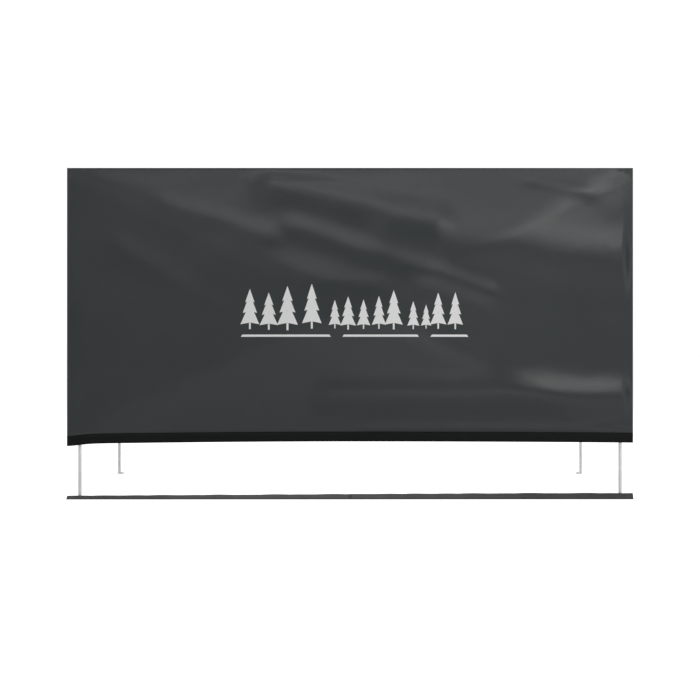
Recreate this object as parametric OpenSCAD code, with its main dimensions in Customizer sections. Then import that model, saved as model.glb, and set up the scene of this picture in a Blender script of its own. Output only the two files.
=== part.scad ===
// Three-wall pop-up ground blind: a front panel and two side wings.
// Each wall hangs on one hub and four poles and folds up by pushing its hub inwards.
// Millimetres, +Z up, the front panel faces -Y.

/* [Panels] */
// Width of the front panel between its side edges
panel_w = 1500; // [1300:10:1700]
// Height of every panel from hem to top edge
panel_h = 724; // [640:2:820]
// Length of each side wing
wing_len = 1000; // [900:10:1200]
// Height of the hem above the ground
hem_gap = 154; // [120:1:200]
// Thickness of the coated fabric as modelled
skin = 1.2; // [0.8:0.1:2]
// Height of the bound hem
bind_h = 25; // [15:1:40]

/* [Frame] */
// Outward tilt of the poles when the walls are popped out
dish = 6; // [4:0.5:8]
// Pole radius
pole_r = 3.75; // [3:0.25:3.75]
// Hinge pin radius
pin_r = 2.5; // [2:0.1:3]
// Running clearance on the hinge pins, per side
fit = 0.05; // [0.02:0.01:0.1]

/* [Legs] */
// Leg tube radius
leg_r = 4.5; // [4.3:0.1:6]
// Ground stake radius
stake_r = 2.9; // [2:0.1:3]

/* [Windows] */
// Window width
win_w = 340; // [200:10:360]
// Lower edge of the window above the hub
win_lo = 196; // [180:2:220]
// Upper edge of the window above the hub
win_hi = 312; // [260:2:316]

/* [Hidden] */
$fn = 40;

// Wall half height and the height of the wall centres
hw = panel_h / 2;
zc = hem_gap + hw;
// Corner hinge axis, inside the front panel's side edge
axis_in = 12.5;
axis_x = panel_w / 2 - axis_in;
// Tip pivots, measured from the wall centre
tip_z = hw - 17;
front_u = axis_x - 20;
wing_u = wing_len / 2 - 18;
// Height of the hub pivots above the hub centre, the same on every hub
hub_z = 17.4;
front_az = atan(tip_z / front_u);
wing_az = atan(tip_z / wing_u);
front_rh = hub_z / sin(front_az);
wing_rh = hub_z / sin(wing_az);
front_len = (tip_z - hub_z) / (sin(front_az) * cos(dish));
wing_pole_len = (tip_z - hub_z) / (sin(wing_az) * cos(dish));
front_d = front_len * sin(dish);
wing_d = wing_pole_len * sin(dish);
// Fabric: inner face of the flat border, border width, flat field over the hub
skin_y = -11;
border = 26;
flat_h = 52;
front_flat = flat_h * front_u / tip_z;
wing_flat = flat_h * wing_u / tip_z;
// Places the wall between its front-most and rear-most points
front_y = (front_d + skin - skin_y - wing_len) / 2;
// Slope of the wings' upper field
rise = hw - border - flat_h;
slope = atan(wing_d / rise);
win_top = (hw - border - win_hi) / cos(slope);
win_bot = (hw - border - win_lo) / cos(slope);
bore_r = pin_r + fit;
charcoal = [0.22, 0.23, 0.235];
black = [0.1, 0.11, 0.115];
plastic = [0.16, 0.16, 0.17];
steel = [0.72, 0.73, 0.75];

// ---- frames: x runs along the wall, y points inwards, z is up ----
module at_front() {
    translate([0, front_y, zc])
        children();
}

module at_left() {
    translate([-axis_x, front_y + wing_len / 2, zc])
        rotate([0, 0, -90])
            children();
}

// side 0 is the left wing, side 1 its mirror image on the right
module at_wing(side) {
    mirror([side, 0, 0])
        at_left()
            children();
}

// ---- pole with an eye at each end ----
module pole(rh, len, d, az) {
    rotate([0, -az, 0])
        translate([rh, -d, 0])
            rotate([0, 0, dish])
                difference() {
                    union() {
                        cylinder(r = 6, h = 8, center = true);
                        translate([len, 0, 0])
                            cylinder(r = 6, h = 8, center = true);
                        rotate([0, 90, 0])
                            cylinder(r = pole_r, h = len);
                        translate([16, 0, 0])
                            rotate([0, 90, 0])
                                cylinder(r = 5, h = 34);
                        translate([len - 50, 0, 0])
                            rotate([0, 90, 0])
                                cylinder(r = 5, h = 34);
                    }
                    cylinder(r = bore_r, h = 20, center = true);
                    translate([len, 0, 0])
                        cylinder(r = bore_r, h = 20, center = true);
                }
}

module front_pole(az) {
    color([0.3, 0.31, 0.33])
        at_front()
            pole(front_rh, front_len, front_d, az);
}

module wing_pole(side, az) {
    color([0.3, 0.31, 0.33])
        at_wing(side)
            pole(wing_rh, wing_pole_len, wing_d, az);
}

// ---- hub: a moulded disc with four slots and four pins ----
module hub_pin_set(rh, d, az) {
    translate([0, -d, 0])
        for (a = [az, 180 - az, 180 + az, -az])
            rotate([0, -a, 0])
                translate([rh, 0, 0])
                    cylinder(r = pin_r, h = 20, center = true);
}

module front_hub_pins() {
    color(steel)
        at_front()
            hub_pin_set(front_rh, front_d, front_az);
}

module wing_hub_pins(side) {
    color(steel)
        at_wing(side)
            hub_pin_set(wing_rh, wing_d, wing_az);
}

module hub_disc(rh, d, az) {
    difference() {
        translate([0, -d - 9, 0])
            rotate([-90, 0, 0])
                cylinder(r = rh + 8, h = 20);
        translate([0, -d, 0])
            for (a = [az, 180 - az, 180 + az, -az])
                rotate([0, -a, 0])
                    translate([rh - 7.5, -20, -4.3])
                        cube([40, 28, 8.6]);
        translate([0, -d + 6, 0])
            rotate([-90, 0, 0])
                cylinder(r = rh * 0.45, h = 10);
        hub_pin_set(rh, d, az);
    }
}

module front_hub_body() {
    color(plastic)
        at_front()
            hub_disc(front_rh, front_d, front_az);
}

module wing_hub_body(side) {
    color(plastic)
        at_wing(side)
            hub_disc(wing_rh, wing_d, wing_az);
}

// Stiff backing disc between the front hub and the panel
module front_hub_patch() {
    color(plastic)
        at_front()
            translate([0, -front_d + skin_y, 0])
                rotate([-90, 0, 0])
                    cylinder(r = 33, h = 2);
}

// ---- tip cup: a clevis open towards the hub and inwards ----
module cheek() {
    linear_extrude(3)
        union() {
            circle(r = 6.5);
            translate([-6.5, -9.5])
                square([16.5, 9.5]);
            translate([0, -1])
                square([10, 7.5]);
        }
}

module cup(az, u) {
    translate([u, 0, az > 0 && az < 180 ? tip_z : -tip_z])
        rotate([0, -az, 0]) {
            translate([0, 0, 4.3])
                cheek();
            translate([0, 0, -7.3])
                cheek();
            translate([7, -9.5, -7.3])
                cube([3, 16, 14.6]);
            translate([-6.5, -9.5, -7.3])
                cube([16.5, 3, 14.6]);
            cylinder(r = pin_r, h = 14.6, center = true);
        }
}

// Backing plate behind the fabric corner, for a tip at +u and +z
module backing() {
    translate([-8, -9.8, -14.7])
        cube([20, 3, 29.1]);
}

// Shelf above the cup, for a tip at +u and +z
module shelf(z, reach) {
    translate([-6, -9.8, z])
        cube([6 + reach, 14.8, 3]);
    translate([reach, 0, z])
        cylinder(r = 5, h = 3);
}

// Front corner with the upright hinge pin, at +u and +z
module front_bracket() {
    cup(front_az, front_u);
    translate([front_u, 0, tip_z]) {
        backing();
        shelf(11.4, 20);
        shelf(-14.7, 20);
        translate([20, 0, -14.7])
            cylinder(r = pin_r, h = 29.1);
    }
}

module front_corner(side) {
    color(plastic)
        at_front()
            mirror([1 - side, 0, 0])
                front_bracket();
}

// Leg tube with a pad, a stake bore and a slot for the stake's step; origin on the ground
module leg(top) {
    difference() {
        union() {
            cylinder(r = leg_r, h = top);
            intersection() {
                cylinder(r = 15, h = 4);
                translate([-20, -leg_r, 0])
                    cube([40, 40, 4]);
            }
        }
        translate([0, 0, -1])
            cylinder(r = stake_r + fit, h = top - 4);
        translate([-2.3, 0, 10])
            cube([4.6, 20, 138]);
    }
}

module front_foot(side) {
    color([0.66, 0.67, 0.69])
        at_front()
            mirror([1 - side, 0, 0]) {
                mirror([0, 0, 1])
                    front_bracket();
                translate([front_u, 0, -zc])
                    leg(zc - tip_z - 11.4);
            }
}

module stake() {
    translate([0, 0, 6.3])
        cylinder(r = stake_r, h = 141);
    translate([0, 0, 0.3])
        cylinder(r1 = 0.6, r2 = stake_r, h = 6);
    translate([-2, 0, 142])
        cube([4, 17, 4]);
}

module stake_front(side) {
    color(steel)
        translate([(2 * side - 1) * front_u, front_y, 0])
            stake();
}

module stake_rear(side) {
    color(steel)
        at_wing(side)
            translate([-wing_u, 0, -zc])
                stake();
}

// ---- corner sleeve between front corner and wing corner ----
module hinge_sleeve(side) {
    color(steel)
        translate([(2 * side - 1) * axis_x, front_y, zc + tip_z - 11.4])
            difference() {
                cylinder(r = 4, h = 22.5);
                translate([0, 0, -1])
                    cylinder(r = bore_r, h = 30);
            }
}

// Near corner of a wing: cup and knuckle, at +u and +z
module wing_near(bore) {
    difference() {
        union() {
            cup(wing_az, wing_u);
            translate([wing_u, 0, tip_z]) {
                translate([8, -5, -10])
                    cube([10, 10, 20]);
                translate([18, 0, -11.2])
                    cylinder(r = 6.2, h = 22.1);
            }
        }
        translate([wing_u + 18, 0, tip_z - 20])
            cylinder(r = bore, h = 40);
    }
}

module wing_corner_near(side) {
    color(plastic)
        at_wing(side)
            wing_near(4 + fit);
}

module wing_ring_near(side) {
    color(plastic)
        at_wing(side)
            mirror([0, 0, 1])
                wing_near(pin_r + 0.45);
}

module wing_far_plate() {
    translate([wing_u, 0, tip_z]) {
        backing();
        shelf(11.4, 5);
    }
}

module wing_corner_far(side) {
    color(plastic)
        at_wing(side)
            mirror([1, 0, 0]) {
                cup(wing_az, wing_u);
                wing_far_plate();
            }
}

module wing_foot(side) {
    color([0.66, 0.67, 0.69])
        at_wing(side)
            mirror([1, 0, 0]) {
                mirror([0, 0, 1]) {
                    cup(wing_az, wing_u);
                    wing_far_plate();
                }
                translate([wing_u, 0, -zc])
                    leg(zc - tip_z - 11.4);
            }
}

// ---- fabric: flat border, four sloping fields and a flat centre ----
module panel_skin(w, h, d, fw, t) {
    sx = [-1, 1, 1, -1];
    sz = [-1, -1, 1, 1];
    outer = [for (i = [0:3]) [sx[i] * w, skin_y, sz[i] * h]];
    mid = [for (i = [0:3]) [sx[i] * (w - border), skin_y, sz[i] * (h - border)]];
    inner = [for (i = [0:3]) [sx[i] * fw, skin_y - d, sz[i] * flat_h]];
    back = concat(outer, mid, inner);
    face = [for (p = back) p - [0, t, 0]];
    ring = [for (k = [0, 4]) for (i = [0:3]) [k + i, k + (i + 1) % 4, k + 4 + (i + 1) % 4, k + 4 + i]];
    rim = [for (i = [0:3]) [i, 12 + i, 12 + (i + 1) % 4, (i + 1) % 4]];
    polyhedron(
        points = concat(back, face),
        faces = concat(
            ring,
            [[8, 9, 10, 11]],
            [for (f = ring) [12 + f[3], 12 + f[2], 12 + f[1], 12 + f[0]]],
            [[23, 22, 21, 20]],
            rim
        ),
        convexity = 6
    );
}

module front_skin(t) {
    panel_skin(panel_w / 2, hw, front_d, front_flat, t);
}

module wing_skin(t) {
    panel_skin(wing_len / 2, hw, wing_d, wing_flat, t);
}

module front_wall() {
    color(charcoal)
        at_front()
            front_skin(skin);
}

module wing_wall(side) {
    color(charcoal)
        at_wing(side)
            difference() {
                union() {
                    wing_skin(skin);
                    translate([wing_len / 2 - 1, skin_y - skin, -hw])
                        cube([10.5, skin, panel_h]);
                }
                translate([-win_w / 2, -200, win_lo])
                    cube([win_w, 400, win_hi - win_lo]);
                translate([0, -wing_d, 0])
                    rotate([90, 0, 0])
                        cylinder(r = 8, h = 40);
            }
}

// Black tape folded over the lower edge
module binding(w) {
    difference() {
        translate([-w, skin_y - skin - 0.9, -hw - 0.9])
            cube([2 * w, skin + 1.8, bind_h]);
        translate([-w - 1, skin_y - skin, -hw])
            cube([2 * w + 2, skin, bind_h + 10]);
    }
}

module front_binding() {
    color(black)
        at_front()
            binding(panel_w / 2);
}

// The wing's tape stops short of the front panel's tape
module wing_binding(side) {
    color(black)
        at_wing(side)
            translate([-7, 0, 0])
                binding(wing_len / 2 - 7);
}

// Webbing keepers that hold the fabric to the poles
module keepers(rh, len, d, az) {
    for (a = [az, 180 - az, 180 + az, -az])
        rotate([0, -a, 0])
            translate([rh, -d, 0])
                rotate([0, 0, dish])
                    translate([len * 0.55, 0, 0])
                        difference() {
                            union() {
                                rotate([0, 90, 0])
                                    cylinder(r = pole_r + 1.9, h = 20);
                                translate([0, -24, -1.5])
                                    cube([20, 19, 3]);
                            }
                            translate([-1, 0, 0])
                                rotate([0, 90, 0])
                                    cylinder(r = pole_r + 0.6, h = 22);
                        }
}

module front_keepers() {
    color(black)
        at_front()
            difference() {
                keepers(front_rh, front_len, front_d, front_az);
                front_skin(60);
            }
}

module wing_keepers(side) {
    color(black)
        at_wing(side)
            difference() {
            keepers(wing_rh, wing_pole_len, wing_d, wing_az);
            wing_skin(60);
        }
}

// ---- base strap: flat webbing that turns slowly about its length ----
module base_strap() {
    reach = panel_w / 2;
    n = 12;
    ang = [for (i = [0:n]) 22 + 33 * min(1, i / n * 1.2)];
    px = [for (i = [0:n]) -reach + 2 * reach * i / n];
    section = [[0, 0], [-20, 0], [-20, 1.6], [0, 1.6]];
    pts = [for (i = [0:n]) for (c = section)
        [px[i], -6.6 + c[0] * cos(ang[i]) + c[1] * sin(ang[i]), 0.4 - c[0] * sin(ang[i]) + c[1] * cos(ang[i])]];
    low = [for (i = [0:n - 1]) for (k = [0:3]) [4 * i + k, 4 * i + (k + 1) % 4, 4 * i + 4 + (k + 1) % 4]];
    high = [for (i = [0:n - 1]) for (k = [0:3]) [4 * i + k, 4 * i + 4 + (k + 1) % 4, 4 * i + 4 + k]];
    ends = [[2, 1, 0], [3, 2, 0], [4 * n, 4 * n + 1, 4 * n + 2], [4 * n, 4 * n + 2, 4 * n + 3]];
    color(black)
        translate([0, front_y, 0])
            polyhedron(points = pts, faces = concat(low, high, ends), convexity = 6);
}

// ---- wing details ----
module wing_cap(side) {
    color(plastic)
        at_wing(side) {
        translate([0, -wing_d + skin_y - skin, 0])
            rotate([90, 0, 0])
                cylinder(r1 = 23, r2 = 20, h = 5);
        translate([0, -wing_d - 9, 0])
            rotate([90, 0, 0])
                cylinder(r = 7, h = 6);
    }
}

module wing_pull(side) {
    color(black)
        at_wing(side)
            translate([-10, -wing_d + skin_y - skin, 0]) {
            translate([0, -7.6, -132])
                cube([20, 2, 132]);
            translate([0, -4.2, -132])
                cube([20, 2, 98]);
            translate([0, -7.6, -134])
                cube([20, 5.4, 2]);
            translate([0, -7.1, -6])
                cube([20, 2.1, 6]);
        }
}

module on_slope() {
    translate([0, skin_y, hw - border])
        rotate([-slope, 0, 0])
            children();
}

module window_mesh(side) {
    color([0.05, 0.05, 0.05])
        at_wing(side)
            on_slope()
            translate([-win_w / 2 - 12, 0, -win_bot - 12])
                cube([win_w + 24, 0.8, win_bot - win_top + 24]);
}

// Tape frame sewn round the window, on the outer face
module window_trim(side) {
    color(black)
        at_wing(side)
            on_slope()
                translate([0, -skin - 0.8, 0])
                    difference() {
                        translate([-win_w / 2 - 18, 0, -win_bot - 18])
                            cube([win_w + 36, 0.8, win_bot - win_top + 36]);
                        translate([-win_w / 2 + 1, -1, -win_bot + 1])
                            cube([win_w - 2, 3, win_bot - win_top - 2]);
                    }
}

front_hub_body();
front_hub_pins();
front_hub_patch();
front_wall();
front_binding();
front_keepers();
base_strap();
front_pole(180 - front_az);  // front_pole_ul
front_pole(front_az);  // front_pole_ur
front_pole(180 + front_az);  // front_pole_ll
front_pole(-front_az);  // front_pole_lr
front_corner(0);  // front_corner_l
front_foot(0);  // front_foot_l
stake_front(0);  // stake_front_l
stake_rear(0);  // stake_rear_l
hinge_sleeve(0);  // hinge_sleeve_l
wing_corner_near(0);  // wing_corner_near_l
wing_ring_near(0);  // wing_ring_near_l
wing_corner_far(0);  // wing_corner_far_l
wing_foot(0);  // wing_foot_l
wing_pole(0, wing_az);  // wing_pole_nt_l
wing_pole(0, -wing_az);  // wing_pole_nb_l
wing_pole(0, 180 - wing_az);  // wing_pole_ft_l
wing_pole(0, 180 + wing_az);  // wing_pole_fb_l
wing_hub_body(0);  // wing_hub_body_l
wing_hub_pins(0);  // wing_hub_pins_l
wing_wall(0);  // wing_wall_l
wing_binding(0);  // wing_binding_l
wing_keepers(0);  // wing_keepers_l
wing_cap(0);  // wing_cap_l
wing_pull(0);  // wing_pull_l
window_mesh(0);  // window_mesh_l
window_trim(0);  // window_trim_l
front_corner(1);  // front_corner_r
front_foot(1);  // front_foot_r
stake_front(1);  // stake_front_r
stake_rear(1);  // stake_rear_r
hinge_sleeve(1);  // hinge_sleeve_r
wing_corner_near(1);  // wing_corner_near_r
wing_ring_near(1);  // wing_ring_near_r
wing_corner_far(1);  // wing_corner_far_r
wing_foot(1);  // wing_foot_r
wing_pole(1, wing_az);  // wing_pole_nt_r
wing_pole(1, -wing_az);  // wing_pole_nb_r
wing_pole(1, 180 - wing_az);  // wing_pole_ft_r
wing_pole(1, 180 + wing_az);  // wing_pole_fb_r
wing_hub_body(1);  // wing_hub_body_r
wing_hub_pins(1);  // wing_hub_pins_r
wing_wall(1);  // wing_wall_r
wing_binding(1);  // wing_binding_r
wing_keepers(1);  // wing_keepers_r
wing_cap(1);  // wing_cap_r
wing_pull(1);  // wing_pull_r
window_mesh(1);  // window_mesh_r
window_trim(1);  // window_trim_r
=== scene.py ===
"""Looks of the three-wall pop-up ground blind, built round its CAD frame, in metres."""

import math

import bmesh
import bpy
import numpy as np
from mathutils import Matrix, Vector


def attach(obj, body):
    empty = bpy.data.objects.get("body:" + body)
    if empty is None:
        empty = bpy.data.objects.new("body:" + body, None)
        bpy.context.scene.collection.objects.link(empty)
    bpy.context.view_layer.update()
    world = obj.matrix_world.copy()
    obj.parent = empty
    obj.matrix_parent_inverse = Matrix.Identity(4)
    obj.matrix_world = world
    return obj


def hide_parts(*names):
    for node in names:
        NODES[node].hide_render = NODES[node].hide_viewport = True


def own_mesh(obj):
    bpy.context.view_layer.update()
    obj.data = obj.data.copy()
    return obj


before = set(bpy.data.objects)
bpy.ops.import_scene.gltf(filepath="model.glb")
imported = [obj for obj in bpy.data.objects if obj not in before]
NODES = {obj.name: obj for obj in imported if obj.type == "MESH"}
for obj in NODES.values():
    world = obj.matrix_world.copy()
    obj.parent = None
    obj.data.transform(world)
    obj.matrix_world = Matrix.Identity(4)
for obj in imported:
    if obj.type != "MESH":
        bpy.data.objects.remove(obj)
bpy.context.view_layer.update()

# ---------------------------------------------------------------- sizes, as in part.scad
PANEL_W, PANEL_H = 1.5, 0.724  # front panel
WING_LEN = 1.0  # each side wall
HEM_GAP = 0.154  # from the ground to the hem
SKIN, SKIN_N = 0.0012, -0.011  # cloth thickness, and where its inner face lies along n
SEAM = 0.011  # what a wing's cloth has over at the corner
DISH = math.radians(6)  # slope of the poles out of the wall's plane
HALF_H = PANEL_H / 2
CENTRE_Z = HEM_GAP + HALF_H
AXIS_X = PANEL_W / 2 - 0.0125  # corner pin
TIP_IN = 0.020  # from the corner pin in to the front poles' tips
TIP_Z = HALF_H - 0.017  # height of the pole tips above the middle
FRONT_U, WING_U = AXIS_X - TIP_IN, WING_LEN / 2 - 0.018  # pole tips along the walls
HUB_Z = 0.0174  # height of the poles' pivots above the hub's middle
HUB_RIM = 0.0135  # from the pivots in to the piece of cloth that stays on the hub
POLE_R, POLE_END = 0.00375, 0.052  # pole radius, and length of the alloy at each end
EDGE, FLAT_V = 0.004, 0.052  # flat margin of the cloth, half height of its flat middle
WIN_W, WIN_LO, WIN_HI = 0.340, 0.196, 0.312  # window: width, lower edge and upper edge
SEWN = 0.012  # what is sewn in all round the window mesh
TAPE_H, TAPE_T = 0.025, 0.0009  # hem tape: height, thickness of a layer
CORNER_CLEAR = 0.014  # a wing's hem tape stops this far short of its near end
TRIM_W, TRIM_T = 0.0185, 0.0011  # window trim
STRAP_W, STRAP_T = 0.020, 0.0016  # ground strap
STRAP_BACK = 0.0066  # from the front wall's plane out to the strap's back edge
STRAP_FROM, STRAP_TURN, STRAP_RATE = 19, 26, 1.2  # its tilt in degrees: first, added, how soon
TURN = math.radians(88)  # how far the poles turn as the frame folds

# ---------------------------------------------------------------- fineness of the meshes
CLOTH_STEP, WINDOW_STEP, STRAP_STEP, PRINT_STEP = 0.0065, 0.008, 0.006, 0.012
STITCH_PITCH, STITCH_R = 0.0042, 0.0004


def frame_size(tip_u):
    """Pole azimuth, hub radius, pole length and dish depth of a wall."""
    az = math.atan(TIP_Z / tip_u)
    hub_r = HUB_Z / math.sin(az)
    length = (TIP_Z - HUB_Z) / (math.sin(az) * math.cos(DISH))
    return az, hub_r, length, length * math.sin(DISH)


FRONT_DEPTH = frame_size(FRONT_U)[3]
FRONT_Y = (FRONT_DEPTH + SKIN - SKIN_N - WING_LEN) / 2
WING_Y = FRONT_Y + WING_LEN / 2


class Wall:
    """A wall's own frame: u along it, n inwards, v up from its centre."""

    def __init__(self, name, origin, u, n, half_u, near_u, tip_u):
        self.name, self.origin = name, np.array(origin, float)
        self.u, self.n, self.v = (np.array(d, float) for d in (u, n, (0, 0, 1)))
        self.half_u, self.near_u = half_u, near_u
        self.az, self.hub_r, self.length, self.depth = frame_size(tip_u)
        self.flat_u = FLAT_V * tip_u / TIP_Z
        self.middle = self.hub_r - HUB_RIM

    def place(self, u, n, v):
        """The points at (u, n, v)."""
        u, n, v = np.broadcast_arrays(*(np.asarray(x, float)[..., None] for x in (u, n, v)))
        return self.origin + u * self.u + n * self.n + v * self.v

    def direction(self, u, n, v):
        """The direction (u, n, v)."""
        return u * self.u + n * self.n + v * self.v


FRONT_SIZE = PANEL_W / 2, PANEL_W / 2, FRONT_U
WING_SIZE = WING_LEN / 2, WING_LEN / 2 + SEAM, WING_U
FRONT = Wall("front", (0, FRONT_Y, CENTRE_Z), (1, 0, 0), (0, 1, 0), *FRONT_SIZE)
LEFT = Wall("wing_l", (-AXIS_X, WING_Y, CENTRE_Z), (0, -1, 0), (1, 0, 0), *WING_SIZE)
RIGHT = Wall("wing_r", (AXIS_X, WING_Y, CENTRE_Z), (0, -1, 0), (-1, 0, 0), *WING_SIZE)
WALLS = FRONT, LEFT, RIGHT

# Which arm each quarter of a wall goes with: (sign of u, sign of v) to body name
QUARTERS = {
    FRONT: {
        (-1, 1): "front_arm_ul",
        (1, 1): "front_arm_ur",
        (-1, -1): "front_arm_ll",
        (1, -1): "front_arm_lr",
    },
    LEFT: {
        (1, 1): "wing_arm_nt_l",
        (1, -1): "wing_arm_nb_l",
        (-1, 1): "wing_arm_ft_l",
        (-1, -1): "wing_arm_fb_l",
    },
    RIGHT: {
        (1, 1): "wing_arm_nt_r",
        (1, -1): "wing_arm_nb_r",
        (-1, 1): "wing_arm_ft_r",
        (-1, -1): "wing_arm_fb_r",
    },
}
HUB_OF = {FRONT: "front_panel", LEFT: "wing_panel_l", RIGHT: "wing_panel_r"}

# How far the cloth closes over its crease as it folds, rather than opening along it
LAP = {FRONT: 0.012, LEFT: 0.004, RIGHT: 0.004}
CREASE_AT = 0.25, 0.9  # the two places on a pole that the crease runs through
MEET_AT = 0.65  # the place on a centre line where folded neighbours meet
LEAST_KEPT = 0.02

# ---------------------------------------------------------------- shape of the cloth
RIPPLE_SEED = {FRONT: 3, LEFT: 5, RIGHT: 8}
RIPPLES, RIPPLE_HEIGHT = 14, 0.012
CREASE_SOFT, MIDDLE_SOFT = 0.11, 0.06  # how broadly the dish is rounded off


def smooth(x, a, b):
    """Goes from 0 at a to 1 at b, level at both ends."""
    t = np.clip((x - a) / (b - a), 0, 1)
    return t * t * (3 - 2 * t)


def ridge(u, v, start, end, width, height):
    """A soft fold along a line, fading at both ends."""
    a, b = np.array(start), np.array(end)
    d = b - a
    length = np.hypot(*d)
    d = d / length
    along = (u - a[0]) * d[0] + (v - a[1]) * d[1]
    across = (u - a[0]) * -d[1] + (v - a[1]) * d[0]
    soft = (0.4 * width + 0.03) ** 2
    fade = np.exp(-np.clip(-along, 0, None) ** 2 / soft)
    fade = fade * np.exp(-np.clip(along - length, 0, None) ** 2 / soft)
    return height * np.exp(-((across / width) ** 2)) * fade


# Soft folds of the front panel: start, end, width, height
FRONT_FOLDS = [
    ((-0.48, 0.262), (-0.22, 0.182), 0.030, 0.0048),
    ((-0.20, 0.319), (0.22, 0.231), 0.050, 0.0100),
    ((-0.15, 0.205), (0.36, 0.030), 0.032, 0.0060),
    ((0.12, 0.208), (0.85, 0.100), 0.080, 0.0125),
    ((0.50, 0.325), (0.62, 0.300), 0.020, 0.0030),
    ((-0.60, 0.150), (-0.28, -0.050), 0.030, 0.0026),
    ((-0.05, -0.240), (0.85, -0.244), 0.043, 0.0130),
    ((0.05, -0.3265), (0.85, -0.3275), 0.012, 0.0032),
]


def ripples(u, v, seed):
    """Faint waviness of stretched cloth, the same on every run."""
    rng = np.random.default_rng(seed)
    total = np.zeros_like(u)
    for _ in range(RIPPLES):
        k = rng.uniform(12, 70)
        t = rng.uniform(-0.9, 0.9)
        size = rng.uniform(0.4, 1.0) / k
        phase = rng.uniform(0, 6.3)
        total = total + size * np.sin(k * (u * math.sin(t) + v * math.cos(t)) + phase)
    return total


def lesser(a, b, soft):
    """The lesser of a and b, rounded off where they cross."""
    h = np.clip(0.5 + 0.5 * (a - b) / soft, 0, 1)
    return a * (1 - h) + b * h - soft * h * (1 - h)


def dish(wall, u, v):
    """How far the smooth cloth stands out of the wall plane at (u, v)."""
    au, av = np.abs(u), np.abs(v)
    su = (wall.half_u - EDGE - au) / (wall.half_u - EDGE - wall.flat_u)
    sv = (HALF_H - EDGE - av) / (HALF_H - EDGE - FLAT_V)
    s = lesser(1, lesser(sv, su, CREASE_SOFT), MIDDLE_SOFT)
    return wall.depth * np.clip(s, 0, 1)


def bulge(wall, u, v):
    """How far the cloth stands out of the wall plane at (u, v), with its folds."""
    au, av = np.abs(u), np.abs(v)
    inside = smooth(np.minimum(wall.near_u - au, HALF_H - av), 0.0, 0.05)
    out = dish(wall, u, v) + inside * RIPPLE_HEIGHT * ripples(u, v, RIPPLE_SEED[wall])
    # The cloth puckers a little along the top of the hem tape
    out = out + 0.0010 * np.exp(-(((v + HALF_H - TAPE_H - 0.006) / 0.005) ** 2))
    if wall is FRONT:
        edge = smooth(HALF_H - av, 0.0, 0.04) * smooth(wall.half_u - au, 0.0, 0.03)
        out = out + edge * sum(ridge(u, v, *f) for f in FRONT_FOLDS)
    return out


def hem_sag(wall, u, v):
    """Drop of the lower edge towards the corners."""
    low = smooth(-v, HALF_H - 0.14, HALF_H)
    drop = 0.0032 * (np.abs(u) / wall.half_u) ** 2
    if wall is FRONT:
        drop = drop + 0.0036 * np.clip((-u - 0.05) / 0.7, 0, 1) ** 1.5
        drop = drop + 0.0055 * np.exp(-(((u + wall.half_u) / 0.045) ** 2))
    return low * drop


def cloth(wall, u, v, proud=0.0):
    """Points of the cloth's middle, moved outwards by proud."""
    n = SKIN_N - SKIN / 2 - bulge(wall, u, v) - proud
    return wall.place(u, n, v - hem_sag(wall, u, v))


def cloth_normal(wall, u, v):
    """The cloth's outward direction, from its slope over a few millimetres."""
    e = 0.002
    pu = cloth(wall, u + e, v) - cloth(wall, u - e, v)
    pv = cloth(wall, u, v + e) - cloth(wall, u, v - e)
    n = np.cross(pu, pv)
    n /= np.linalg.norm(n, axis=-1)[..., None]
    side = np.sign((n * -wall.n).sum(-1))
    return n * side[..., None]


# ---------------------------------------------------------------- materials
def srgb(*levels):
    """A screen colour, each part 0 to 255, as the linear colour that Blender takes."""
    dark = 10  # the curve's straight start ends here
    parts = (c / 255 / 12.92 if c <= dark else ((c / 255 + 0.055) / 1.055) ** 2.4 for c in levels)
    return *parts, 1.0


def between(tree, fac, low, high, socket):
    """Feeds a socket a value that goes from low to high with fac."""
    n = tree.nodes.new("ShaderNodeMapRange")
    n.inputs["To Min"].default_value = low
    n.inputs["To Max"].default_value = high
    tree.links.new(fac, n.inputs["Value"])
    tree.links.new(n.outputs["Result"], socket)


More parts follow.
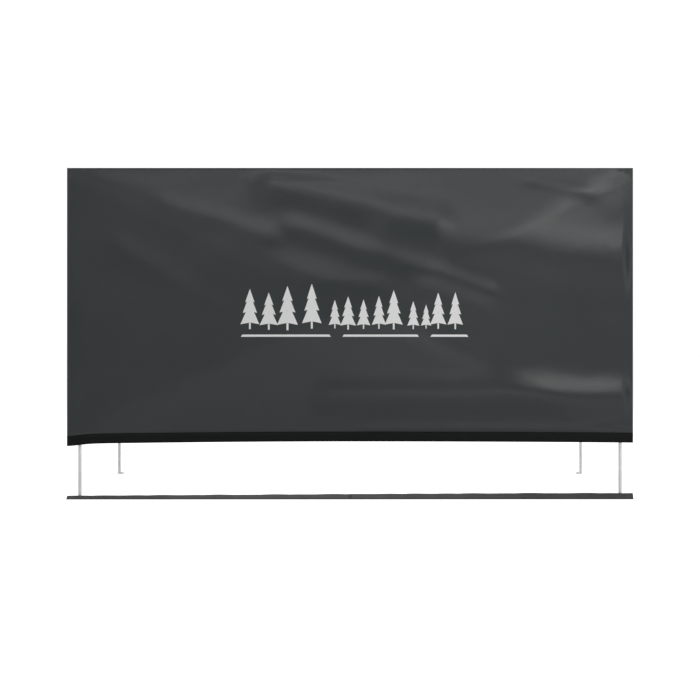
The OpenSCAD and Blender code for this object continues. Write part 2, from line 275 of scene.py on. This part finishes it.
class Shader:
    """A Principled material with small helpers."""

    def __init__(self, name):
        self.mat = bpy.data.materials.new(name)
        self.mat.use_nodes = True
        self.tree = self.mat.node_tree
        self.bsdf = self.tree.nodes["Principled BSDF"]
        self.coord = self.node("ShaderNodeTexCoord").outputs["Object"]

    def node(self, kind, **values):
        """A new node, with its inputs or its own settings given by name."""
        n = self.tree.nodes.new(kind)
        for k, v in values.items():
            if k in n.inputs:
                n.inputs[k].default_value = v
            else:
                setattr(n, k, v)
        return n

    def link(self, a, b):
        self.tree.links.new(a, b)

    def set(self, **values):
        """Sets inputs of the surface shader, with _ for the spaces in their names."""
        for k, v in values.items():
            self.bsdf.inputs[k.replace("_", " ")].default_value = v

    def noise(self, scale, detail=3.0, rough=0.5):
        n = self.node("ShaderNodeTexNoise", Scale=scale, Detail=detail, Roughness=rough)
        self.link(self.coord, n.inputs["Vector"])
        return n.outputs["Fac"]

    def wave(self, axis, scale, distortion=0.0):
        n = self.node("ShaderNodeTexWave", Scale=scale, Distortion=distortion)
        n.bands_direction = axis
        self.link(self.coord, n.inputs["Vector"])
        return n.outputs["Fac"]

    def math(self, op, a, b):
        n = self.node("ShaderNodeMath")
        n.operation = op
        for i, x in enumerate((a, b)):
            if hasattr(x, "is_linked"):
                self.link(x, n.inputs[i])
            else:
                n.inputs[i].default_value = x
        return n.outputs[0]

    def bump(self, height, strength, distance):
        n = self.node("ShaderNodeBump", Strength=strength, Distance=distance)
        self.link(height, n.inputs["Height"])
        self.link(n.outputs["Normal"], self.bsdf.inputs["Normal"])

    def tint(self, fac, dark, light):
        n = self.node("ShaderNodeMix")
        n.data_type = "RGBA"
        n.inputs["A"].default_value = dark
        n.inputs["B"].default_value = light
        self.link(fac, n.inputs["Factor"])
        self.link(n.outputs["Result"], self.bsdf.inputs["Base Color"])

    def between(self, fac, low, high, socket):
        """Feeds a socket a value that goes from low to high with fac."""
        between(self.tree, fac, low, high, self.bsdf.inputs[socket])

    def rough(self, fac, low, high):
        self.between(fac, low, high, "Roughness")


def woven(name, dark, light, low, high, scale, spec, depth=0.0002):
    """Plain weave: two crossed thread waves, faint blotches and an uneven sheen."""
    s = Shader(name)
    threads = s.math("MULTIPLY", s.wave("DIAGONAL", scale), s.wave("Z", scale))
    blotch = s.noise(9.0, 4.0)
    fac = s.math("ADD", s.math("MULTIPLY", blotch, 0.75), s.math("MULTIPLY", threads, 0.25))
    s.tint(fac, dark, light)
    s.rough(s.noise(30.0, 2.0), low, high)
    s.bump(threads, 0.35, depth)
    s.set(Specular_IOR_Level=spec)
    return s.mat


# Dark and light colour, lowest and highest roughness, fineness of the weave, gloss
FABRIC = woven("coated_fabric", srgb(36, 41, 42), srgb(43, 48, 49), 0.31, 0.39, 260.0, 0.5)
TAPE = woven("hem_tape", srgb(16, 17, 18), srgb(22, 23, 24), 0.62, 0.75, 330.0, 0.14)
WEBBING = woven("webbing", srgb(52, 51, 51), srgb(72, 71, 71), 0.5, 0.62, 200.0, 0.2, 0.0004)
THREAD = woven("thread", srgb(40, 42, 43), srgb(52, 54, 55), 0.6, 0.7, 600.0, 0.2)


def print_ink():
    """Pale ink that shows the weave below it."""
    s = Shader("print_ink")
    s.tint(s.noise(700.0, 2.0), srgb(212, 213, 212), srgb(232, 233, 232))
    s.rough(s.noise(60.0), 0.55, 0.7)
    s.bump(s.wave("DIAGONAL", 260.0), 0.2, 0.0001)
    return s.mat


INK = print_ink()


def moulded(name, dark, light, rough):
    """Plastic or resin with a fine grain."""
    s = Shader(name)
    s.tint(s.noise(40.0, 5.0), dark, light)
    s.rough(s.noise(90.0), rough - 0.06, rough + 0.08)
    s.bump(s.noise(1500.0, 2.0), 0.25, 0.0001)
    return s.mat


PLASTIC = moulded("moulded_plastic", srgb(28, 28, 30), srgb(38, 38, 40), 0.5)
POLE = moulded("fibreglass", srgb(40, 41, 43), srgb(58, 59, 62), 0.32)


def metal(name, dark, light, rough):
    """Metal with a faintly uneven finish."""
    s = Shader(name)
    s.set(Metallic=1.0)
    s.tint(s.noise(60.0, 4.0), dark, light)
    s.rough(s.noise(220.0, 2.0), rough - 0.05, rough + 0.1)
    s.bump(s.noise(900.0, 2.0), 0.12, 0.0001)
    return s.mat


ALLOY = metal("satin_alloy", srgb(236, 237, 239), srgb(247, 248, 249), 0.45)
STEEL = metal("zinc_steel", srgb(170, 172, 176), srgb(205, 206, 208), 0.28)


def screen():
    """See-through window mesh: fine dark threads with open cells."""
    s = Shader("window_mesh")
    s.set(Roughness=0.7)
    s.tint(s.noise(30.0), srgb(20, 20, 21), srgb(30, 30, 31))
    cells = s.math("MULTIPLY", s.wave("DIAGONAL", 160.0), s.wave("Z", 230.0))
    s.between(cells, 0.95, 0.45, "Alpha")
    return s.mat


MESH = screen()


# ---------------------------------------------------------------- mesh helpers
def rows_of(values):
    """Points or directions as a plain list."""
    return [tuple(p) for p in np.asarray(values).reshape(-1, 3)]


def make(name, points, faces, materials, indices=None, normals=None):
    """A new smooth-shaded object."""
    mesh = bpy.data.meshes.new(name)
    mesh.from_pydata(rows_of(points), [], [tuple(int(i) for i in f) for f in faces])
    for m in materials:
        mesh.materials.append(m)
    mesh.polygons.foreach_set("use_smooth", [True] * len(mesh.polygons))
    if indices is not None:
        mesh.polygons.foreach_set("material_index", [int(i) for i in indices])
    mesh.validate()
    if normals is not None:
        mesh.normals_split_custom_set_from_vertices(rows_of(normals))
    obj = bpy.data.objects.new(name, mesh)
    bpy.context.scene.collection.objects.link(obj)
    return obj


def grid_faces(rows, cols, flip):
    """Four-sided faces over a grid of points, turned over if flip."""
    a = np.arange(rows * cols).reshape(rows, cols)
    f = np.stack([a[:-1, :-1], a[:-1, 1:], a[1:, 1:], a[1:, :-1]], -1).reshape(-1, 4)
    return f[:, ::-1] if flip else f


def spaced(a, b, step):
    """Evenly spaced values from a to b."""
    return np.linspace(a, b, max(2, int(round(abs(b - a) / step)) + 1))


def span(a, b, step, *stops):
    """Evenly spaced values from a to b that also hit the stops."""
    cuts = sorted({a, b, *[s for s in stops if min(a, b) < s < max(a, b)]}, reverse=a > b)
    out = [np.array([cuts[0]])]
    for p, q in zip(cuts, cuts[1:]):
        out.append(spaced(p, q, step)[1:])
    return np.concatenate(out)


# ---------------------------------------------------------------- how the cloth folds
def fold_aim(wall, quarter, side):
    """How the cloth on one side of a pole draws in to its crease as the pole folds.

    Returns the direction, a point of the crease, and the share of the width that is kept, so
    that the cloth still meets its neighbour when folded.
    """
    su, sv = quarter
    ca, sa = math.cos(wall.az), math.sin(wall.az)

    def on_cloth(u, v):
        return np.array((u, SKIN_N - SKIN / 2 - dish(wall, np.array([u]), np.array([v]))[0], v))

    reach = HALF_H / sa
    lap = np.array((0, LAP[wall], 0))
    crease, end = (on_cloth(at * reach * ca, at * reach * sa) - lap for at in CREASE_AT)
    line = end - crease
    edge = on_cloth(wall.half_u * MEET_AT, 0.0) if side else on_cloth(0.0, HALF_H * MEET_AT)
    drawn = edge - crease
    drawn = drawn - line * (drawn @ line) / (line @ line)
    drawn = drawn / np.linalg.norm(drawn)

    def missed(keep):
        """How far from its neighbour the cloth ends up."""
        u, n, v = edge - (1 - keep) * ((edge - crease) @ drawn) * drawn
        out, across = u * ca + v * sa - wall.hub_r, v * ca - u * sa
        radius = wall.hub_r + out * math.cos(TURN) + (n + wall.depth) * math.sin(TURN)
        return radius * sa + across * ca if side else radius * ca - across * sa

    keep = missed(0) / (missed(0) - missed(1))
    sign = np.array((su, 1, sv))
    keep = min(1.0, max(LEAST_KEPT, keep))
    return wall.direction(*(drawn * sign)), wall.place(*(crease * sign)), keep


def gather(obj, wall, quarter, side=False):
    """Ties obj to the quarter's pole and gives it a mesh of its own; its fold aim is worked out
    but not used.

    The cloth beyond the pole is side cloth if it reaches the wall's end, and otherwise reaches
    the upper or lower edge.
    """
    drawn, crease, keep = fold_aim(wall, quarter, side)
    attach(obj, QUARTERS[wall][quarter])
    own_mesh(obj)
    return obj


def quarter_name(quarter):
    """A quarter as it is called in the names of pieces: right is towards +u."""
    return ("right" if quarter[0] > 0 else "left") + ("_upper" if quarter[1] > 0 else "_lower")


# ---------------------------------------------------------------- fabric panels
def cut_flat(shapes, lines):
    """Flat polygons, given as lists of (u, v), cut along lines (u, v, du, dv).

    Returns u, v and the faces, which face outwards.
    """
    bm = bmesh.new()
    for shape in shapes:
        bm.faces.new([bm.verts.new((a, 0, b)) for a, b in shape])
    bmesh.ops.remove_doubles(bm, verts=bm.verts[:], dist=1e-6)
    for a, b, da, db in lines:
        geom = bm.verts[:] + bm.edges[:] + bm.faces[:]
        bmesh.ops.bisect_plane(bm, geom=geom, plane_co=(a, 0, b), plane_no=(-db, 0, da))
    u, v = np.array([(p.co.x, p.co.z) for p in bm.verts]).T
    bm.verts.index_update()
    faces = []
    for f in bm.faces:
        ring = [p.index for p in f.verts]
        area = (u[ring] * np.roll(v[ring], -1) - v[ring] * np.roll(u[ring], -1)).sum()
        faces.append(ring if area > 0 else ring[::-1])
    bm.free()
    return u, v, faces


def cloth_piece(label, wall, flat, chosen, proud, material):
    """The chosen faces of a flat pattern, laid on the wall."""
    u, v, faces = flat
    chosen = [faces[i] for i in np.flatnonzero(chosen)]
    if not chosen:
        return None
    used = sorted({i for f in chosen for i in f})
    index = {i: k for k, i in enumerate(used)}
    rings = [[index[i] for i in (f[::-1] if wall is RIGHT else f)] for f in chosen]
    points = cloth(wall, u[used], v[used], proud)
    normals = cloth_normal(wall, u[used], v[used])
    return make(f"{wall.name}_{label}", points, rings, [material], normals=normals)


def cloth_pieces(name, wall, flat, proud, material):
    """The cloth of a wall in pieces.

    The middle stays with the hub, and each pole has a piece on either side of it.
    """
    u, v, faces = flat
    ca, sa = math.cos(wall.az), math.sin(wall.az)
    cu, cv = np.array([(u[f].mean(), v[f].mean()) for f in faces]).T
    along = np.abs(cu) * ca + np.abs(cv) * sa
    beyond = np.abs(cv) * ca < np.abs(cu) * sa
    middle = cloth_piece(f"{name}_middle", wall, flat, along < wall.middle, proud, material)
    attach(middle, HUB_OF[wall])
    made = {"middle": middle}
    for quarter in QUARTERS[wall]:
        inside = (cu * quarter[0] > 0) & (cv * quarter[1] > 0) & (along > wall.middle)
        for side in (False, True):
            label = f"{name}_{quarter_name(quarter)}_" + ("side" if side else "field")
            obj = cloth_piece(label, wall, flat, inside & (beyond == side), proud, material)
            if obj:
                made[quarter, side] = gather(obj, wall, quarter, side)
    return made


def lines_of(wall):
    """Where a wall's cloth is cut: its centre lines, the poles, and round the middle."""
    ca, sa = math.cos(wall.az), math.sin(wall.az)
    lines = [(0, 0, 0, 1), (0, 0, 1, 0), (0, 0, ca, -sa), (0, 0, ca, sa)]
    for su, sv in QUARTERS[wall]:
        lines.append((su * ca * wall.middle, sv * sa * wall.middle, -sv * sa, su * ca))
    return lines


def panel_pieces(wall):
    """A wall's cloth, with its window cut out."""
    us = span(-wall.half_u, wall.near_u, CLOTH_STEP, -WIN_W / 2, WIN_W / 2)
    vs = span(-HALF_H, HALF_H, CLOTH_STEP, WIN_LO, WIN_HI)
    shapes = []
    for a, b in zip(us, us[1:]):
        for c, d in zip(vs, vs[1:]):
            beside = abs(a + b) > WIN_W or not WIN_LO < (c + d) / 2 < WIN_HI
            if wall is FRONT or beside:
                shapes.append([(a, c), (b, c), (b, d), (a, d)])
    return cloth_pieces("panel", wall, cut_flat(shapes, lines_of(wall)), 0.0, FABRIC)


def stitches(wall, line, count, offset):
    """Small raised stitches along line(t) -> (u, v), as points and faces."""
    pts, faces = [], []
    lift = np.array([0, 0, 0, 0, 0.0005, 0.0005])
    for i in range(count):
        (u0, v0), (u1, v1) = line((i + 0.18) / count), line((i + 0.82) / count)
        du, dv = u1 - u0, v1 - v0
        length = math.hypot(du, dv)
        wu, wv = -dv / length * STITCH_R, du / length * STITCH_R
        u = [u0 - wu, u0 + wu, u1 + wu, u1 - wu, (u0 * 3 + u1) / 4, (u0 + u1 * 3) / 4]
        v = [v0 - wv, v0 + wv, v1 + wv, v1 - wv, (v0 * 3 + v1) / 4, (v0 + v1 * 3) / 4]
        k = len(pts)
        pts.extend(cloth(wall, np.array(u), np.array(v), offset + lift))
        faces += [(k, k + 1, k + 4), (k + 1, k + 2, k + 5, k + 4)]
        faces += [(k + 2, k + 3, k + 5), (k + 3, k, k + 4, k + 5)]
    return pts, faces


def sewn_tape(name, wall, points, faces, seams, offset):
    """A tape with a row of stitches along each seam, given as (line, length)."""
    points, faces = list(points.reshape(-1, 3)), [tuple(f) for f in faces]
    index = [0] * len(faces)
    for line, length in seams:
        more, quads = stitches(wall, line, int(length / STITCH_PITCH), offset)
        k = len(points)
        points += more
        faces += [tuple(i + k for i in q) for q in quads]
        index += [1] * len(quads)
    return make(name, points, faces, [TAPE, THREAD], index)


def hem_tape(wall, quarter, end):
    """Half of the folded black tape on a wall's lower edge, with two rows of stitches."""
    su = quarter[0]
    us = spaced(0.0, su * end, CLOTH_STEP)
    top, half = -HALF_H + TAPE_H, SKIN / 2
    outside = [
        (top, half + 0.0001),
        (top - 0.0003, half + TAPE_T),
        (-HALF_H + 0.004, half + TAPE_T),
        (-HALF_H - 0.0004, half + TAPE_T * 0.8),
    ]
    profile = [*outside, (-HALF_H - 0.0010, 0.0), *[(v, -o) for v, o in outside[::-1]]]
    pv, po = np.array(profile).T
    u, v = np.meshgrid(us, pv)
    points = cloth(wall, u, v, po[:, None])
    flip = (su < 0) != (wall is RIGHT)
    faces = grid_faces(len(pv), len(us), not flip)

    def row(drop):
        return lambda s: (su * (0.002 + s * (end - 0.004)), top - drop)

    name = f"{wall.name}_hem_tape_{quarter_name(quarter)}"
    seams = [(row(0.003), end), (row(0.006), end)]
    return sewn_tape(name, wall, points, faces, seams, half + TAPE_T)


def keeper_parts(node, wall):
    """The CAD keepers of a wall, one new piece for each pole."""
    mesh = NODES[node].data
    co = np.array([v.co for v in mesh.vertices]) - wall.origin
    cu, cv = co @ wall.u, co @ wall.v
    made = {}
    for quarter in QUARTERS[wall]:
        keep = (cu * quarter[0] > 0) & (cv * quarter[1] > 0)
        new = np.cumsum(keep) - 1
        faces = [tuple(new[i] for i in p.vertices) for p in mesh.polygons if keep[p.vertices[0]]]
        name = f"{wall.name}_keeper_{quarter_name(quarter)}"
        obj = make(name, co[keep] + wall.origin, faces, [WEBBING])
        obj.data.polygons.foreach_set("use_smooth", [False] * len(obj.data.polygons))
        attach(obj, QUARTERS[wall][quarter])
        made[quarter] = obj
    return made


def window_half(wall, quarter):
    """Half of a window: mesh inside and trim outside."""
    su = quarter[0]
    label = quarter_name(quarter)
    us = spaced(0.0, su * (WIN_W / 2 + SEWN), WINDOW_STEP)
    vs = spaced(WIN_LO - SEWN, WIN_HI + SEWN, WINDOW_STEP)
    u, v = np.meshgrid(us, vs)
    flip = (su > 0) != (wall is RIGHT)
    faces = grid_faces(len(vs), len(us), not flip)
    mesh = make(f"{wall.name}_window_mesh_{label}", cloth(wall, u, v, -0.0011), faces, [MESH])

    # The trim is a flat band with mitred corners: (how far out, how proud) at its four edges
    edges = [(-0.0005, 0.0), (0.0, TRIM_T), (TRIM_W - 0.001, TRIM_T), (TRIM_W, 0.0003)]
    # Its path: (u, v, and how u and v change towards the outside)
    half = WIN_W / 2
    path = [(0.0, WIN_LO, 0, -1), (half, WIN_LO, 1, -1), (half, WIN_HI, 1, 1), (0.0, WIN_HI, 0, 1)]
    rows = []
    for here, there in zip(np.array(path), np.array(path[1:])):
        steps = max(2, int(math.hypot(*(there - here)[:2]) / WINDOW_STEP))
        for i in range(steps + 1):
            u0, v0, du, dv = here + (there - here) * (i / steps)
            rows.append([(u0 + du * out, v0 + dv * out, proud) for out, proud in edges])
    rows = np.array(rows)
    points = cloth(wall, su * rows[..., 0], rows[..., 1], rows[..., 2] + SKIN / 2)
    faces = grid_faces(len(rows), len(edges), flip)
    out = TRIM_W - 0.0035
    w, lo, hi = half + out, WIN_LO - out, WIN_HI + out
    seams = [
        (lambda s: (su * s * w, lo), w),
        (lambda s: (su * w, lo + s * (hi - lo)), hi - lo),
        (lambda s: (su * (1 - s) * w, hi), w),
    ]
    name = f"{wall.name}_window_tape_{label}"
    return mesh, sewn_tape(name, wall, points, faces, seams, SKIN / 2 + TRIM_T)


def build_wall(wall, tag):
    """All soft pieces of one wall."""
    suffix = "" if wall is FRONT else "_" + tag
    prefix = "front" if wall is FRONT else "wing"
    keepers = keeper_parts(f"{prefix}_keepers{suffix}", wall)
    panel = panel_pieces(wall)
    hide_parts(f"{prefix}_wall{suffix}")
    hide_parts(f"{prefix}_keepers{suffix}")
    for quarter in QUARTERS[wall]:
        reach = wall.near_u if quarter[0] > 0 else wall.half_u
        if quarter[1] < 0:
            end = reach if wall is FRONT or quarter[0] < 0 else wall.half_u - CORNER_CLEAR
            tape = hem_tape(wall, quarter, end)
            gather(tape, wall, quarter)
            if quarter[0] > 0:
                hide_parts(f"{prefix}_binding{suffix}")
        elif wall is not FRONT:
            mesh, trim = window_half(wall, quarter)
            gather(mesh, wall, quarter)
            gather(trim, wall, quarter)
            if quarter[0] > 0:
                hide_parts(f"window_mesh{suffix}")
                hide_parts(f"window_trim{suffix}")


for wall, tag in zip(WALLS, ("", "l", "r")):
    build_wall(wall, tag)


# ---------------------------------------------------------------- ground strap
def strap_half(su):
    """Half of the ground strap, which turns slowly about its length."""
    reach = PANEL_W / 2
    us = spaced(0.0, su * reach, STRAP_STEP)
    across = np.linspace(0, 1, 7)
    section = [(x, 0.0) for x in across] + [(x, 1.0) for x in across[::-1]]
    pts = []
    for x in us:
        share = (x + reach) / (2 * reach)
        ang = math.radians(STRAP_FROM + STRAP_TURN * min(1.0, share * STRAP_RATE))
        # It doesn't lie quite straight
        wob = 0.0006 * math.sin(x * 23) + 0.0004 * math.sin(x * 61 + 1)
        for a, b in section:
            back = FRONT_Y - STRAP_BACK - STRAP_W * (1 - a) * math.cos(ang)
            low = 0.0006 + STRAP_W * a * math.sin(ang) + abs(wob) * a
            thick = STRAP_T * b
            pts.append((x, back - thick * math.sin(ang), low + thick * math.cos(ang)))
    rows, cols = len(us), len(section)
    faces = []
    for i in range(rows - 1):
        for k in range(cols):
            a, b = i * cols + k, i * cols + (k + 1) % cols
            faces.append((a, b, b + cols, a + cols))
    faces.append(tuple(range(cols))[::-1])
    faces.append(tuple((rows - 1) * cols + k for k in range(cols)))
    if su < 0:
        faces = [f[::-1] for f in faces]
    obj = make("ground_strap_" + ("right" if su > 0 else "left"), pts, faces, [WEBBING])
    foot = "front_foot_" + ("r" if su > 0 else "l")
    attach(obj, foot)
    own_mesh(obj)
    return obj


strap = [strap_half(-1), strap_half(1)]
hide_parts("base_strap")


# ---------------------------------------------------------------- printed pattern
# Tiers of a tree, as shares of its size: bottom, top, half width, half width at the top
TIERS = (0.12, 0.44, 0.50, 0.20), (0.40, 0.70, 0.38, 0.14), (0.66, 1.0, 0.25, 0.0)
TREES_U, TREES_V = (-0.262, 0.285), -0.070
BARS_U = (-0.286, -0.05), (-0.02, 0.18), (0.21, 0.310)
BARS_V, BAR_H, BAR_SLANT = -0.086, 0.006, 0.004
PRINT_PROUD = 0.0004


def conifer(u, v, w, h):
    """Plain tree standing at (u, v): a trunk and three drooping tiers, as convex pieces."""
    t, b = w * 0.05, v + h * 0.16
    shapes = [[(u - t, v), (u + t, v), (u + t, b), (u - t, b)]]
    for low, high, half, tip in TIERS:
        foot, head = v + h * (low + 0.045), v + h * high
        for side in (-w, w):
            corner, shoulder = (u + side * half, v + h * low), (u + side * tip, head)
            shapes.append([corner, (u, foot), (u, head), shoulder])
    return shapes


def print_shapes():
    """Row of trees over a broken ground line."""
    rng = np.random.default_rng(21)
    shapes = []
    u = TREES_U[0]
    while u < TREES_U[1]:
        h = rng.uniform(0.062, 0.118)
        w = h * rng.uniform(0.42, 0.5)
        shapes += conifer(u, TREES_V + rng.uniform(0, 0.006), w, h)
        u += w * rng.uniform(0.98, 1.25)
    top = BARS_V + BAR_H
    for a, b in BARS_U:
        shapes.append([(a, BARS_V), (b, BARS_V), (b - BAR_SLANT, top), (a + BAR_SLANT, top)])
    return shapes


def print_pieces():
    """The print, cut with the cloth and along a fine grid so that it follows the folds."""
    # The top tier comes to a point, so one of its corners stands there twice
    shapes = [[q for i, q in enumerate(shape) if q != shape[i - 1]] for shape in print_shapes()]
    lines = lines_of(FRONT)
    lines += [(a, 0, 0, 1) for a in np.arange(-0.30, 0.33, PRINT_STEP)]
    lines += [(0, b, 1, 0) for b in np.arange(-0.096, 0.06, PRINT_STEP)]
    flat = cut_flat(shapes, lines)
    for obj in cloth_pieces("print", FRONT, flat, PRINT_PROUD, INK).values():
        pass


print_pieces()


# ---------------------------------------------------------------- CAD nodes that stay
def paint(node, *materials):
    """Gives a CAD node its materials and returns its mesh."""
    mesh = NODES[node].data
    mesh.materials.clear()
    for m in materials:
        mesh.materials.append(m)
    return mesh


def paint_pole(node, wall, quarter):
    """Dark fibreglass with alloy ends."""
    mesh = paint(node, POLE, ALLOY)
    d = wall.direction(quarter[0] * math.cos(wall.az), 0, quarter[1] * math.sin(wall.az))
    start = wall.origin + d * wall.hub_r - wall.n * wall.depth
    axis = d * math.cos(DISH) + wall.n * math.sin(DISH)
    for face in mesh.polygons:
        at = np.array(face.center) - start
        along = at @ axis
        fitting = np.linalg.norm(at - axis * along) > POLE_R + 0.0006
        end = along < POLE_END or along > wall.length - POLE_END
        face.material_index = int(end or fitting)


for node in NODES:
    if "pole" in node:
        continue
    if "foot" in node:
        paint(node, ALLOY)
    elif "pins" in node or "stake" in node or "sleeve" in node:
        paint(node, STEEL)
    elif "pull" in node:
        paint(node, WEBBING)
    else:
        paint(node, PLASTIC)
for wall in WALLS:
    for quarter, body in QUARTERS[wall].items():
        paint_pole(body.replace("arm", "pole"), wall, quarter)


# ---------------------------------------------------------------- studio
def dimmer_as_light(tree, lighting, seen, socket):
    """A strength of lighting as a light, and of seen where the camera sees it directly."""
    path = tree.nodes.new("ShaderNodeLightPath")
    between(tree, path.outputs["Is Camera Ray"], lighting, seen, socket)


def pale_floor():
    """A wide pale floor just under the feet."""
    side, back, low = 60, 200, -0.0003
    corners = [(-side, -side, low), (side, -side, low), (side, back, low), (-side, back, low)]
    floor = make("floor", corners, [(0, 1, 2, 3)], [])
    pale = Shader("pale_floor")
    pale.set(Roughness=0.9, Emission_Color=(1, 1, 1, 1), Specular_IOR_Level=0.1)
    pale.tint(pale.noise(2.0), srgb(196, 196, 196), srgb(202, 202, 202))
    dimmer_as_light(pale.tree, 0.22, 0.86, pale.bsdf.inputs["Emission Strength"])
    floor.data.materials.append(pale.mat)


def studio_world(lighting, seen):
    """White backdrop in the picture, dimmer as a light."""
    world = bpy.data.worlds.new("studio")
    bpy.context.scene.world = world
    world.use_nodes = True
    back = world.node_tree.nodes["Background"]
    back.inputs["Color"].default_value = (1, 1, 1, 1)
    dimmer_as_light(world.node_tree, lighting, seen, back.inputs["Strength"])


def softbox(name, at, target, size, power):
    """An area light at one place, aimed at another: size in metres, power in watts."""
    light = bpy.data.lights.new(name, "AREA")
    light.shape = "RECTANGLE"
    light.size, light.size_y = size
    light.energy = power
    obj = bpy.data.objects.new(name, light)
    obj.location = at
    obj.rotation_mode = "QUATERNION"
    obj.rotation_quaternion = (Vector(target) - Vector(at)).to_track_quat("-Z", "Y")
    bpy.context.scene.collection.objects.link(obj)


pale_floor()
studio_world(0.25, 1.05)
bpy.context.scene.view_settings.view_transform = "Standard"
softbox("key", (2.0, -3.6, 2.5), (0.4, FRONT_Y, 0.6), (1.0, 0.7), 30)
softbox("fill", (0.0, -2.9, 3.4), (0.0, FRONT_Y, 0.7), (2.4, 0.7), 21)
softbox("side", (-1.4, -3.3, 1.5), (-0.5, FRONT_Y, 0.7), (1.4, 1.2), 6)
softbox("near", (1.2, FRONT_Y - 1.5, 1.25), (0.6, FRONT_Y, 0.75), (0.6, 0.3), 1.3)
softbox("low", (0.5, FRONT_Y - 1.5, 0.004), (0.5, FRONT_Y - 1.5, 1.0), (0.7, 0.8), 3)
softbox("rim", (3.0, FRONT_Y - 1.6, 0.75), (0.75, FRONT_Y, 0.6), (0.8, 1.0), 6)
softbox("top", (0.0, 0.9, 4.2), (0.0, 0.4, 0.0), (5.0, 3.0), 160)

# The camera stands level with the middle of the picture, square to the front panel
DISTANCE, EYE_Z = 4.8, 0.3955
PICTURE_WIDTH = 1.855  # what the picture takes in at the panel
SENSOR = 36  # mm
camera = bpy.data.cameras.new("camera")
camera.sensor_width = SENSOR
camera.lens = SENSOR * DISTANCE / PICTURE_WIDTH
view = bpy.data.objects.new("camera", camera)
view.location = (0.0, FRONT_Y + SKIN_N - SKIN - DISTANCE, EYE_Z)
view.rotation_euler = (math.radians(90), 0, 0)
bpy.context.scene.collection.objects.link(view)
bpy.context.scene.camera = view
